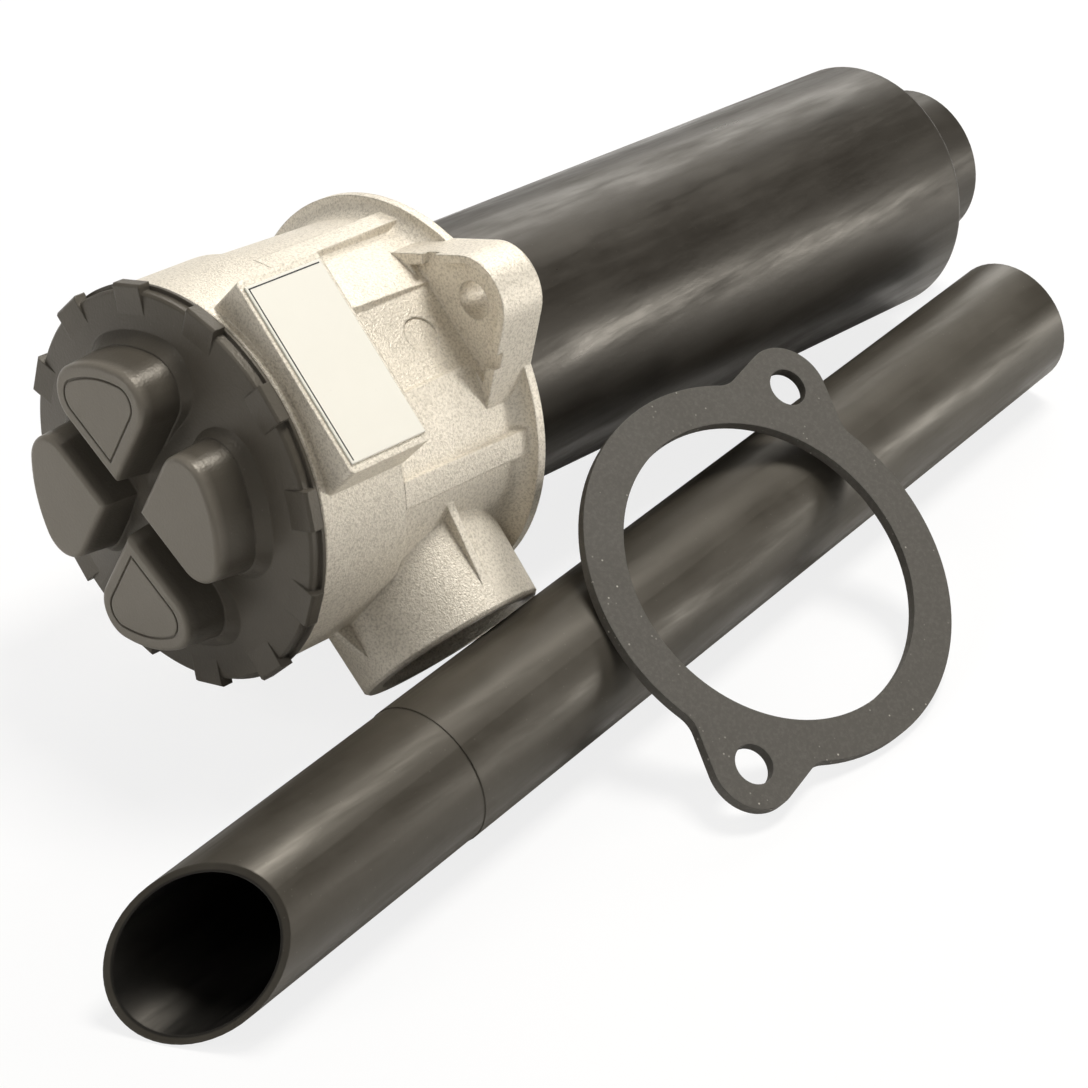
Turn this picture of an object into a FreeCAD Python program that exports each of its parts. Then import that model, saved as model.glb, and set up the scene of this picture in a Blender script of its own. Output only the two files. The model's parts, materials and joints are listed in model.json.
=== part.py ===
import FreeCAD, Part
import math
import os
import re
import Sketcher

Vector = FreeCAD.Vector
Rotation = FreeCAD.Rotation
Placement = FreeCAD.Placement
UP = Vector(0, 0, 1)

# Driving dimensions in millimetres and degrees. Heights are measured along the
# filter's own axis from the flange's mounting face, towards the screw cap.
SIZES = {
    # mounting flange and its two ears
    "bolt_circle_radius": 57.5,
    "bolt_hole_radius": 5.0,
    "flange_radius": 53.4,
    "flange_height": 2.6,
    "flange_blend": 5.0,
    "ear_radius": 12.1,
    "ear_flare": 29.0,
    "ear_height": 13.8,
    "ear_floor": 11.8,
    "ear_rim": 2.2,
    # die-cast head
    "drum_radius": 50.6,
    "drum_foot": 45.6,
    "drum_chamfer": 1.2,
    "head_height": 74.4,
    "waist_top_radius": 49.4,
    "waist_foot_radius": 48.0,
    "recess_floor": 46.3,
    "recess_width": 22.0,
    "outer_rib_reach": 50.6,
    "outer_rib_angle": 46.0,
    "outer_rib_top": 7.4,
    "outer_rib_foot": 6.4,
    "mark_angle": 28.0,
    "mark_height": 27.0,
    "mark_radius": 5.0,
    "mark_reach": 49.4,
    "wheel_height": 22.5,
    "wheel_radius": 4.8,
    "wheel_depth": 0.5,
    "cavity_radius": 41.5,
    "cap_bore_radius": 44.8,
    "cap_bore_depth": 15.0,
    "thread_clearance": 0.08,
    "ledge_height": 6.0,
    # plate pad and its blank plate
    "pad_reach": 55.6,
    "pad_width": 53.6,
    "pad_foot": 44.6,
    "pad_height": 26.6,
    "pad_root": 43.0,
    "pad_corner": 1.5,
    "plate_width": 49.3,
    "plate_height": 24.2,
    "plate_thickness": 0.6,
    # inlet port
    "port_height": 28.6,
    "port_reach": 66.7,
    "port_boss_radius": 25.6,
    "port_boss_draft": 1.2,
    "port_edge": 0.8,
    "port_bore_radius": 18.9,
    "port_chamfer": 1.8,
    "gusset_thickness": 2.4,
    "gusset_end": 6.2,
    "flank_gusset_root": 31.0,
    "flank_gusset_start": 34.0,
    "cap_gusset_start": 46.0,
    "cap_gusset_drop": 14.0,
    # screw cap
    "cap_turn": 57.0,
    "cap_gap": 0.3,
    "cap_base_radius": 51.8,
    "cap_base_height": 0.9,
    "cap_skirt_radius": 50.8,
    "cap_skirt_height": 2.9,
    "cap_dome": 6.2,
    "cap_plate": 6.5,
    "cap_shoulder": 1.9,
    "cap_spigot_wall": 5.0,
    "cap_spigot_depth": 13.0,
    "tooth_reach": 52.6,
    "tooth_root": 42.0,
    "tooth_width": 10.0,
    "tooth_rise": 0.7,
    "tooth_edge": 0.6,
    "lobe_reach": 38.5,
    "lobe_corner": 9.5,
    "lobe_corner_along": 27.8,
    "short_lobe_reach": 36.4,
    "short_lobe_corner_along": 25.7,
    "lobe_point": 5.2,
    "lobe_top": 94.2,
    "lobe_draft": 5.0,
    "lobe_edge": 1.4,
    "lobe_foot": 3.2,
    "lobe_foot_draft": 40.0,
    "lobe_line_inset": 4.6,
    "lobe_line_point": 11.9,
    "lobe_line_width": 0.6,
    "lobe_line_depth": 0.5,
    "seal_groove_depth": 3.0,
    "seal_groove_height": 3.4,
    "cap_seal_wire": 1.5,
    "washer_radius": 26.0,
    "washer_bore": 18.0,
    "washer_thickness": 1.2,
    # bowl, outlet spigot and stub
    "bowl_radius": 37.4,
    "bowl_wall": 2.4,
    "bowl_length": 198.8,
    "bowl_lip": 2.0,
    "bowl_fit": 0.3,
    "collar_radius": 41.2,
    "collar_height": 8.0,
    "bowl_seal_wire": 1.4,
    "spigot_radius": 23.0,
    "spigot_length": 28.0,
    "spigot_bore": 19.4,
    "spigot_lip": 1.4,
    "stub_radius": 17.4,
    "stub_bore": 15.0,
    "stub_top": 22.0,
    "ring_thickness": 1.6,
    "ring_width": 4.0,
    # filter element
    "element_top": 54.0,
    "element_foot_height": 21.3,
    "end_cap_radius": 33.0,
    "end_cap_thickness": 3.0,
    "end_cap_skirt": 5.0,
    "end_cap_wall": 1.2,
    "media_radius": 31.6,
    "media_bore": 20.4,
    "media_sheet": 1.2,
    "pleat_count": 40,
    "core_radius": 20.0,
    "core_wall": 1.4,
    "slot_width": 5.0,
    "slot_height": 26.0,
    "slot_pitch": 35.0,
    "slot_rows": 6,
    "foot_seal_wire": 1.1,
    "foot_collar_depth": 9.0,
    "foot_collar_wall": 4.2,
    "handle_radius": 13.5,
    "handle_wire": 1.5,
    # hold-down spring
    "hold_spring_radius": 22.0,
    "hold_spring_wire": 1.3,
    "hold_spring_turns": 3,
    # bypass valve
    "bypass_bore": 9.5,
    "bypass_seat_drop": 1.2,
    "poppet_radius": 12.0,
    "poppet_thickness": 2.0,
    "stem_radius": 2.5,
    "stem_length": 26.0,
    "stem_clearance": 0.05,
    "cage_radius": 15.5,
    "cage_wall": 1.5,
    "cage_depth": 19.0,
    "cage_floor": 2.2,
    "cage_window": 12.0,
    "bypass_spring_radius": 6.0,
    "bypass_spring_wire": 0.7,
    "bypass_spring_turns": 5,
    # flange gasket, lying loose
    "gasket_bore": 42.5,
    "gasket_radius": 53.8,
    "gasket_blend": 8.0,
    "gasket_hole_radius": 5.4,
    "gasket_thickness": 3.0,
    "gasket_lean": 32.7,
    "gasket_facing": -88.6,
    "gasket_twist": 49.7,
    "gasket_along": 37.8,
    # drop tube, lying loose
    "tube_radius": 19.1,
    "tube_wall": 2.2,
    "tube_length": 359.2,
    "tube_bevel": 39.0,
    "tube_turn": 35.0,
    "tube_yaw": 4.5,
    "tube_start": -167.0,
    "tube_sleeve_length": 95.0,
    "tube_sleeve_step": 0.25,
    # spaces left between pieces that only lie against each other
    "rest_gap": 0.3,
}

doc = FreeCAD.newDocument("return_line_filter")
sheet = doc.addObject("Spreadsheet::Sheet", "sizes")
for row, (alias, number) in enumerate(SIZES.items(), start=1):
    sheet.set(f"A{row}", alias)
    sheet.set(f"B{row}", str(number))
    sheet.setAlias(f"B{row}", alias)
doc.recompute()

# Radius of the cap's spigot, which runs in the head's bore
SPIGOT = "(cap_bore_radius - thread_clearance)"

NODES = {}


# Small helpers: reading sizes, binding properties and keeping finished sub-parts
def size(expression):
    return float(sheet.evalExpression(expression))


def bound(expression):
    return re.sub(r"[a-z_]{3,}", lambda word: "sizes." + word.group(0) if word.group(0) in SIZES
                  else word.group(0), expression)


def bind(item, **properties):
    for name, expression in properties.items():
        item.setExpression(name.replace("__", "."), bound(expression))
    return item


def keep(item, label):
    item.Label = label
    NODES[label] = item
    return item


def origin_feature(body, role):
    return [feature for feature in body.Origin.OriginFeatures if feature.Role == role][0]


def new_sketch(body, name, role, height=None):
    sketch = body.newObject("Sketcher::SketchObject", name)
    sketch.AttachmentSupport = [(origin_feature(body, role), "")]
    sketch.MapMode = "FlatFace"
    if height is not None:
        sketch.setExpression("AttachmentOffset.Base.z", bound(height))
    return sketch


def place_point(sketch, geometry, vertex, across, along):
    for kind, expression, axis in (("DistanceX", across, -2), ("DistanceY", along, -1)):
        if expression == "0":
            sketch.addConstraint(Sketcher.Constraint("PointOnObject", geometry, vertex, axis))
        else:
            index = sketch.addConstraint(
                Sketcher.Constraint(kind, -1, 1, geometry, vertex, size(expression)))
            sketch.setExpression(f"Constraints[{index}]", bound(expression))


def draw_outline(sketch, points):
    corners = [Vector(size(across), size(along), 0) for across, along in points]
    count = len(corners)
    for index in range(count):
        sketch.addGeometry(Part.LineSegment(corners[index], corners[(index + 1) % count]), False)
    for index in range(count):
        sketch.addConstraint(Sketcher.Constraint("Coincident", index, 2, (index + 1) % count, 1))
    for index, (across, along) in enumerate(points):
        place_point(sketch, index, 1, across, along)
    doc.recompute()


def new_body(name):
    return doc.addObject("PartDesign::Body", name)


def revolve(body, name, points):
    sketch = new_sketch(body, name + "_profile", "XZ_Plane")
    draw_outline(sketch, points)
    turned = body.newObject("PartDesign::Revolution", name + "_turned")
    turned.Profile = sketch
    turned.ReferenceAxis = (sketch, ["V_Axis"])
    turned.Angle = 360
    doc.recompute()
    return turned


def turned_body(name, points):
    body = new_body(name)
    revolve(body, name, points)
    return body


def round_edges(body, name, circles, radius, kind="Fillet"):
    base = body.Tip
    chosen = []
    for index, edge in enumerate(base.Shape.Edges, start=1):
        curve = edge.Curve
        if not isinstance(curve, Part.Circle):
            continue
        for across, along in circles:
            near = abs(curve.Radius - size(across)) < 0.01 and abs(curve.Center.z - size(along)) < 0.01
            if near and abs(curve.Axis.z) > 0.99:
                chosen.append(f"Edge{index}")
    feature = body.newObject("PartDesign::" + kind, name)
    feature.Base = (base, chosen)
    feature.setExpression("Radius" if kind == "Fillet" else "Size", bound(radius))
    doc.recompute()
    return feature


def extruded_body(name, role, points, length, middle=True):
    body = new_body(name)
    sketch = new_sketch(body, name + "_profile", role)
    draw_outline(sketch, points)
    pad = body.newObject("PartDesign::Pad", name + "_pad")
    pad.Profile = sketch
    pad.Midplane = middle
    bind(pad, Length=length)
    doc.recompute()
    return body


def polar(body, name, originals, count):
    pattern = body.newObject("PartDesign::PolarPattern", name)
    pattern.Originals = originals
    pattern.Axis = (origin_feature(body, "Z_Axis"), [""])
    pattern.Angle = 360
    pattern.Occurrences = count
    body.Tip = pattern
    doc.recompute()
    return pattern


def cylinder(name, radius, height, base=("0", "0", "0"), turn=None):
    item = doc.addObject("Part::Cylinder", name)
    bind(item, Radius=radius, Height=height)
    bind(item, Placement__Base__x=base[0], Placement__Base__y=base[1], Placement__Base__z=base[2])
    if turn:
        item.Placement.Rotation = Rotation(*turn)
    return item


def box(name, length, width, height, base):
    item = doc.addObject("Part::Box", name)
    bind(item, Length=length, Width=width, Height=height)
    bind(item, Placement__Base__x=base[0], Placement__Base__y=base[1], Placement__Base__z=base[2])
    return item


def fuse(name, shapes):
    item = doc.addObject("Part::MultiFuse", name)
    item.Shapes = shapes
    return item


def common(name, first, second):
    item = doc.addObject("Part::MultiCommon", name)
    item.Shapes = [first, second]
    return item


def cut(name, base, tool):
    item = doc.addObject("Part::Cut", name)
    item.Base = base
    item.Tool = tool
    return item


def wire_ring(name, role, centre_radius, wire, height, angle):
    body = new_body(name)
    sketch = new_sketch(body, name + "_section", role, height if role == "XY_Plane" else None)
    along = height if role == "XZ_Plane" else "0"
    sketch.addGeometry(Part.Circle(Vector(size(centre_radius), size(along), 0), UP, size(wire)), False)
    place_point(sketch, 0, 3, centre_radius, along)
    index = sketch.addConstraint(Sketcher.Constraint("Radius", 0, size(wire)))
    sketch.setExpression(f"Constraints[{index}]", bound(wire))
    turned = body.newObject("PartDesign::Revolution", name + "_turned")
    turned.Profile = sketch
    turned.ReferenceAxis = (sketch, ["V_Axis"])
    turned.Angle = angle
    doc.recompute()
    return body


def seal_ring(name, centre_radius, wire, height):
    return keep(wire_ring(name, "XZ_Plane", centre_radius, wire, height, 360), name)


def turned_about_axis(item, degrees):
    item.Placement = Placement(Vector(0, 0, 0), Rotation(UP, degrees)).multiply(item.Placement)
    return item


# A coil spring standing on its lower end, as a faceted wire that climbs by loft
def coil(name, radius, wire, foot, top, turns):
    steps_per_turn = 14
    wire_sides = 8
    steps = turns * steps_per_turn
    climb = (top - foot - 2 * wire) / steps
    rings = []
    for step in range(steps + 1):
        angle = 2 * math.pi * step / steps_per_turn
        outward = Vector(math.cos(angle), math.sin(angle), 0)
        centre = outward * radius + UP * (foot + wire + climb * step)
        ring = []
        for side in range(wire_sides + 1):
            around = 2 * math.pi * side / wire_sides
            ring.append(centre + outward * (wire * math.cos(around)) + UP * (wire * math.sin(around)))
        rings.append(Part.makePolygon(ring))
    spring = doc.addObject("Part::Feature", name)
    spring.Shape = Part.makeLoft(rings, True, True)
    return keep(spring, name)


# An ear's outline: a round end whose two flanks flare towards the middle
def flared_ear(name, radius, root, height, base="0"):
    side = f"{radius} * cos(ear_flare)"
    tangent = f"bolt_circle_radius + {radius} * sin(ear_flare)"
    spread = f"{side} + ({tangent} - {root}) * tan(ear_flare)"
    lug = extruded_body(name + "_flanks", "XY_Plane", [
        (root, f"-({spread})"), (tangent, f"-({side})"), (tangent, side), (root, spread)],
        height, middle=False)
    lug.Placement.Base.z = size(base)
    return fuse(name, [
        lug, cylinder(name + "_end", radius, height, ("bolt_circle_radius", "0", base))])


# Die-cast head: drum, tapering waist and flange turned as one, before its bores
def make_head():
    casting = [turned_body("head_turned", [
        ("0", "0"), ("flange_radius", "0"), ("flange_radius", "flange_height"),
        ("waist_foot_radius", "flange_height"), ("waist_top_radius", "drum_foot"),
        ("drum_radius", "drum_foot + drum_radius - waist_top_radius"),
        ("drum_radius", "head_height - drum_chamfer"),
        ("drum_radius - drum_chamfer", "head_height"), ("0", "head_height")])]
    round_edges(casting[0], "flange_fillet", [("waist_foot_radius", "flange_height")], "flange_blend")
    # each ear has a raised rim round a sunk floor
    for side, name in ((0, "near"), (180, "far")):
        lug = flared_ear(f"{name}_lug", "ear_radius", "cavity_radius + 1", "ear_height")
        floor = flared_ear(f"{name}_sunk_floor", "(ear_radius - ear_rim)", "recess_floor",
                           "ear_height", "ear_floor")
        casting.append(turned_about_axis(cut(f"{name}_ear", lug, floor), side))
    # four broad outer ribs that narrow slightly towards the flange
    reach = cylinder("rib_reach_limit", "outer_rib_reach", "drum_foot + 2")
    for index, (side, mirrored) in enumerate(((0, 1), (0, -1), (180, 1), (180, -1))):
        rib = extruded_body(f"outer_rib_{index + 1}", "YZ_Plane", [
            ("0", "0"), (f"{-mirrored} * outer_rib_foot", "0"),
            (f"{-mirrored} * outer_rib_top", "drum_foot + 1"), ("0", "drum_foot + 1")],
            "outer_rib_reach", middle=False)
        limited = common(f"outer_rib_{index + 1}_limited", rib, reach)
        casting.append(turned_about_axis(limited, side + mirrored * size("outer_rib_angle")))
    casting += make_pad_and_mark() + make_port_boss()
    solid = fuse("head_solid", casting)
    hollow = make_head_hollow()
    return keep(cut("filter_head", solid, hollow), "filter_head")


# Flat pad for the plate, and the small round mark beside it
def make_pad_and_mark():
    block = box("pad_block", "pad_reach - pad_root", "pad_width", "pad_height",
                ("pad_root", "-pad_width / 2", "pad_foot"))
    doc.recompute()
    pad = doc.addObject("Part::Fillet", "plate_pad")
    pad.Base = block
    corner = size("pad_corner")
    along_x = [index for index, edge in enumerate(block.Shape.Edges, start=1)
               if abs(edge.tangentAt(edge.FirstParameter).x) > 0.9]
    pad.Edges = [(index, corner, corner) for index in along_x]
    mark = cylinder("round_mark", "mark_radius", "mark_reach - cavity_radius",
                    ("cavity_radius", "0", "mark_height"), (Vector(0, 1, 0), 90))
    return [pad, turned_about_axis(mark, size("mark_angle"))]


# Inlet boss on the side away from the plate's edge, with one gusset on each flank
def make_port_boss():
    boss = doc.addObject("Part::Cone", "port_boss")
    bind(boss, Radius1="port_boss_radius + port_boss_draft", Radius2="port_boss_radius",
         Height="port_reach - cavity_radius / 2", Placement__Base__y="-cavity_radius / 2",
         Placement__Base__z="port_height")
    boss.Placement.Rotation = Rotation(Vector(1, 0, 0), 90)
    rounded = doc.addObject("Part::Chamfer", "port_boss_edge")
    doc.recompute()
    rounded.Base = boss
    rim = [index for index, edge in enumerate(boss.Shape.Edges, start=1)
           if isinstance(edge.Curve, Part.Circle)
           and abs(edge.Curve.Radius - size("port_boss_radius")) < 0.01]
    rounded.Edges = [(index, size("port_edge"), size("port_edge")) for index in rim]
    flank = extruded_body("flank_gusset", "XY_Plane", [
        ("port_bore_radius - 1", "-flank_gusset_start"), ("flank_gusset_root", "-flank_gusset_start"),
        ("port_boss_radius", "gusset_end - port_reach"),
        ("port_bore_radius + 1", "gusset_end - port_reach")], "gusset_thickness")
    flank.Placement.Base.z = size("port_height + 1")
    cap_side = extruded_body("cap_side_gusset", "YZ_Plane", [
        ("-cap_gusset_start", "port_height + port_bore_radius + 1"),
        ("gusset_end - port_reach", "port_height + port_bore_radius + 1"),
        ("gusset_end - port_reach", "port_height + port_boss_radius"),
        ("-cap_gusset_start", "head_height - cap_gusset_drop")], "gusset_thickness")
    return [rounded, flank, cap_side]


# Everything that is bored out of the head
def make_head_hollow():
    over = "head_height + 5"
    bores = turned_body("head_bores", [
        ("0", "-5"), ("bowl_radius + bowl_fit", "-5"), ("bowl_radius + bowl_fit", "ledge_height"),
        ("cavity_radius", "ledge_height"), ("cavity_radius", "head_height - cap_bore_depth - 4"),
        ("cap_bore_radius", "head_height - cap_bore_depth"),
        ("cap_bore_radius", "head_height - 1"), ("cap_bore_radius + 1", "head_height"),
        ("cap_bore_radius + 1", over), ("0", over)])
    groove = turned_body("ring_groove", [
        ("cavity_radius - 1", "ledge_height + collar_height"),
        ("cavity_radius + 1.3", "ledge_height + collar_height"),
        ("cavity_radius + 1.3", "ledge_height + collar_height + ring_thickness + 0.1"),
        ("cavity_radius - 1", "ledge_height + collar_height + ring_thickness + 0.1")])
    mouth = doc.addObject("Part::Cone", "port_mouth")
    bind(mouth, Radius1="port_bore_radius", Radius2="port_bore_radius + port_chamfer + 0.5",
         Height="port_chamfer + 0.5", Placement__Base__y="port_chamfer - port_reach",
         Placement__Base__z="port_height")
    mouth.Placement.Rotation = Rotation(Vector(1, 0, 0), 90)
    bore = cylinder("port_bore", "port_bore_radius", "port_reach", ("0", "0", "port_height"),
                    (Vector(1, 0, 0), 90))
    holes = [cylinder(f"bolt_hole_{side}", "bolt_hole_radius", "ear_height + 10",
                      (f"{side} * bolt_circle_radius", "0", "-5")) for side in (1, -1)]
    # a sunk panel with sloping sides above each ear, and a small round dial in the near one
    panels = []
    for side, name in ((0, "near"), (180, "far")):
        panel = extruded_body(f"{name}_panel", "XY_Plane", [
            ("recess_floor", "-recess_width / 2"), ("recess_floor + 10", "-recess_width / 2 - 10"),
            ("recess_floor + 10", "recess_width / 2 + 10"), ("recess_floor", "recess_width / 2")],
            "pad_foot - ear_floor", middle=False)
        panel.Placement.Base.z = size("ear_floor")
        panels.append(turned_about_axis(panel, side))
    dial = cylinder("dial", "wheel_radius", "10", ("recess_floor - wheel_depth", "0", "wheel_height"),
                    (Vector(0, 1, 0), 90))
    return fuse("head_hollow", [bores, groove, mouth, bore, dial] + holes + panels)


# Screw cap: dished disc with a hollow threaded spigot, twelve teeth and four lobes
def make_cap():
    base = "head_height + cap_gap"
    skirt_foot = f"{base} + cap_base_height"
    face = f"{skirt_foot} + cap_skirt_height"
    under = f"{face} + cap_dome - cap_plate"
    groove_root = f"{SPIGOT} - seal_groove_depth"
    groove_top = "head_height - 0.6"
    body = turned_body("screw_cap", [
        ("0", under), ("washer_radius + 2", under),
        (f"{SPIGOT} - cap_spigot_wall", f"{face} - cap_shoulder"),
        (f"{SPIGOT} - cap_spigot_wall", "head_height - cap_spigot_depth"),
        (SPIGOT, "head_height - cap_spigot_depth"),
        (SPIGOT, f"{groove_top} - seal_groove_height"),
        (groove_root, f"{groove_top} - seal_groove_height"), (groove_root, groove_top),
        (SPIGOT, groove_top), (SPIGOT, base),
        ("cap_base_radius", base), ("cap_base_radius", skirt_foot),
        ("cap_skirt_radius", skirt_foot), ("cap_skirt_radius", f"{face} - tooth_edge"),
        ("cap_skirt_radius - tooth_edge", face), ("0", f"{face} + cap_dome")])
    tooth_sketch = new_sketch(body, "tooth_profile", "XZ_Plane")
    draw_outline(tooth_sketch, [
        ("tooth_root", f"{face} - 1"), ("cap_skirt_radius - 3", skirt_foot),
        ("tooth_reach", skirt_foot), ("tooth_reach", f"{face} + tooth_rise - tooth_edge"),
        ("tooth_reach - tooth_edge", f"{face} + tooth_rise"), ("tooth_root", f"{face} + 0.6")])
    tooth = body.newObject("PartDesign::Pad", "tooth")
    tooth.Profile = tooth_sketch
    tooth.Midplane = True
    bind(tooth, Length="tooth_width")
    doc.recompute()
    polar(body, "teeth", [tooth], 12)
    # two long lobes and, across them, two shorter ones; the round ends of all four
    # run out into the dome with a sloping foot
    for name, turn, reach, along in (("long", 0, "lobe_reach", "lobe_corner_along"),
                                     ("short", 90, "short_lobe_reach", "short_lobe_corner_along")):
        lobe = lobe_pad(body, name + "_lobe", turn, reach, along, f"{face} + 0.5",
                        f"lobe_top - ({face}) - 0.5", "-lobe_draft")
        polar(body, name + "_lobes", [lobe], 2)
        foot = lobe_pad(body, name + "_lobe_foot", turn, reach, along, f"{face} + lobe_foot + 1.2",
                        "lobe_foot + 0.4", "lobe_foot_draft")
        foot.Reversed = True
        doc.recompute()
        polar(body, name + "_lobe_feet", [foot], 2)
    round_lobe_tops(body)
    # two opposite lobes carry a fine line along the edge of their face
    line_sketch = new_sketch(body, "lobe_line_outline", "XY_Plane", "lobe_top")
    draw_lobe(line_sketch, "lobe_reach - lobe_line_inset", "lobe_corner_along",
              "lobe_corner - lobe_line_inset", "lobe_line_point")
    draw_lobe(line_sketch, "lobe_reach - lobe_line_inset - lobe_line_width",
              "lobe_corner_along", "lobe_corner - lobe_line_inset - lobe_line_width",
              "lobe_line_point + 1.46 * lobe_line_width")
    line = body.newObject("PartDesign::Pocket", "lobe_line")
    line.Profile = line_sketch
    bind(line, Length="lobe_line_depth")
    doc.recompute()
    polar(body, "lobe_lines", [line], 2)
    return keep(body, "screw_cap")


def lobe_pad(body, name, turn, reach, along, height, length, draft):
    sketch = new_sketch(body, name + "_outline", "XY_Plane", height)
    sketch.AttachmentOffset = Placement(Vector(0, 0, size(height)), Rotation(UP, turn))
    draw_lobe(sketch, reach, along, "lobe_corner", "lobe_point")
    pad = body.newObject("PartDesign::Pad", name)
    pad.Profile = sketch
    bind(pad, Length=length, TaperAngle=draft)
    doc.recompute()
    return pad


# A lobe's outline: two straight flanks from a point, two round corners and an outer
# arc about the cap's own axis
def draw_lobe(sketch, reach, corner_along, corner, point):
    first = sketch.GeometryCount
    far = size(reach)
    around = size(corner)
    tip = size(point)
    along = size(corner_along)
    beside = math.sqrt((far - around) ** 2 - along ** 2)
    slope = math.atan2(beside, along - tip) + math.asin(around / math.hypot(along - tip, beside))
    turn = math.atan2(beside, along)

    def corner_point(angle, side):
        return Vector(along + around * math.cos(angle), side * (beside + around * math.sin(angle)), 0)

    flank = slope + math.pi / 2
    middle = (flank + turn) / 2
    ends = [corner_point(flank, -1), corner_point(turn, -1), corner_point(turn, 1), corner_point(flank, 1)]
    sketch.addGeometry(Part.LineSegment(Vector(tip, 0, 0), ends[0]), False)
    sketch.addGeometry(Part.Arc(ends[0], corner_point(middle, -1), ends[1]), False)
    sketch.addGeometry(Part.Arc(ends[1], Vector(far, 0, 0), ends[2]), False)
    sketch.addGeometry(Part.Arc(ends[2], corner_point(middle, 1), ends[3]), False)
    sketch.addGeometry(Part.LineSegment(ends[3], Vector(tip, 0, 0)), False)
    for index in range(4):
        sketch.addConstraint(Sketcher.Constraint("Tangent", first + index, 2, first + index + 1, 1))
    sketch.addConstraint(Sketcher.Constraint("Coincident", first + 4, 2, first, 1))
    sketch.addConstraint(Sketcher.Constraint("Coincident", first + 2, 3, -1, 1))
    place_point(sketch, first, 1, point, "0")
    for offset, radius in ((1, corner), (2, reach), (3, corner)):
        index = sketch.addConstraint(Sketcher.Constraint("Radius", first + offset, size(radius)))
        sketch.setExpression(f"Constraints[{index}]", bound(radius))
    for offset in (1, 3):
        index = sketch.addConstraint(Sketcher.Constraint("DistanceX", -1, 1, first + offset, 3, along))
        sketch.setExpression(f"Constraints[{index}]", bound(corner_along))
    doc.recompute()


def round_lobe_tops(body):
    base = body.Tip
    top = size("lobe_top")
    chosen = [f"Edge{index}" for index, edge in enumerate(base.Shape.Edges, start=1)
              if abs(edge.BoundBox.ZMin - top) < 0.01 and edge.BoundBox.ZLength < 0.01]
    feature = body.newObject("PartDesign::Fillet", "lobe_top_edges")
    feature.Base = (base, chosen)
    bind(feature, Radius="lobe_edge")
    doc.recompute()


# Bowl with its collar, the outlet spigot below and the seal stub inside
def make_bowl():
    inner = "bowl_radius - bowl_wall"
    end = "-bowl_length"
    collar_top = "ledge_height + collar_height"
    groove_foot = "ledge_height + 2.4"
    groove_top = "ledge_height + 5.6"
    groove_root = "collar_radius - 2.6"
    body = turned_body("bowl", [
        (inner, collar_top), ("collar_radius", collar_top), ("collar_radius", groove_top),
        (groove_root, groove_top), (groove_root, groove_foot), ("collar_radius", groove_foot),
        ("collar_radius", "ledge_height"), ("bowl_radius", "ledge_height"), ("bowl_radius", end),
        ("spigot_radius", end), ("spigot_radius", f"{end} - spigot_length"),
        ("spigot_bore", f"{end} - spigot_length"), ("spigot_bore", end), ("stub_bore", end),
        ("stub_bore", f"{end} + stub_top"), ("stub_radius", f"{end} + stub_top"),
        ("stub_radius", f"{end} + bowl_wall"), (inner, f"{end} + bowl_wall")])
    round_edges(body, "bowl_end_lip", [("bowl_radius", end)], "bowl_lip")
    round_edges(body, "spigot_end_lip", [("spigot_radius", f"{end} - spigot_length")],
                "spigot_lip", "Chamfer")
    return keep(body, "bowl")


# Split ring that locks the bowl's collar into the head
def make_retaining_ring():
    foot = "ledge_height + collar_height"
    ring = turned_body("ring_turned", [
        ("cavity_radius + 1 - ring_width", foot), ("cavity_radius + 1", foot),
        ("cavity_radius + 1", f"{foot} + ring_thickness"),
        ("cavity_radius + 1 - ring_width", f"{foot} + ring_thickness")])
    gap = box("ring_split", "cavity_radius", "9", "ring_thickness + 2",
              ("cavity_radius / 2", "-4.5", f"{foot} - 1"))
    return keep(cut("retaining_ring", ring, gap), "retaining_ring")


# Filter element: end caps, pleated medium, slotted core and its seal
def make_element():
    under_top = "element_top - end_cap_thickness"
    foot = "(element_foot_height - bowl_length)"
    skirt = "end_cap_radius - end_cap_wall"
    keep(turned_body("element_top_cap", [
        ("bypass_bore", f"{under_top} - bypass_seat_drop"), ("bypass_bore", "element_top"),
        ("end_cap_radius", "element_top"), ("end_cap_radius", f"{under_top} - end_cap_skirt"),
        (skirt, f"{under_top} - end_cap_skirt"), (skirt, under_top),
        ("cage_radius", under_top), ("cage_radius", f"{under_top} - bypass_seat_drop")]),
        "element_top_cap")
    over_foot = f"{foot} + end_cap_thickness"
    collar = "stub_radius + foot_collar_wall"
    groove_top = f"{foot} - 3"
    groove_foot = f"{foot} - 6"
    groove_root = "stub_radius + 2.4"
    neck = "stub_radius + 0.2"
    keep(turned_body("element_foot_cap", [
        (neck, over_foot), (neck, groove_top), (groove_root, groove_top),
        (groove_root, groove_foot), (neck, groove_foot), (neck, f"{foot} - foot_collar_depth"),
        (collar, f"{foot} - foot_collar_depth"), (collar, foot), ("end_cap_radius", foot),
        ("end_cap_radius", f"{over_foot} + end_cap_skirt"), (skirt, f"{over_foot} + end_cap_skirt"),
        (skirt, over_foot)]), "element_foot_cap")
    seal_ring("element_foot_seal", "stub_radius + 0.05 + foot_seal_wire", "foot_seal_wire",
              f"{foot} - 4.5")
    make_core(over_foot, under_top)
    make_medium(size(over_foot), size(under_top))
    handle = wire_ring("element_handle", "XY_Plane", "handle_radius", "handle_wire", "element_top", 180)
    if handle.Shape.BoundBox.ZMax < size("element_top + handle_wire"):
        handle.Tip.Reversed = True
    keep(handle, "element_handle")


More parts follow.
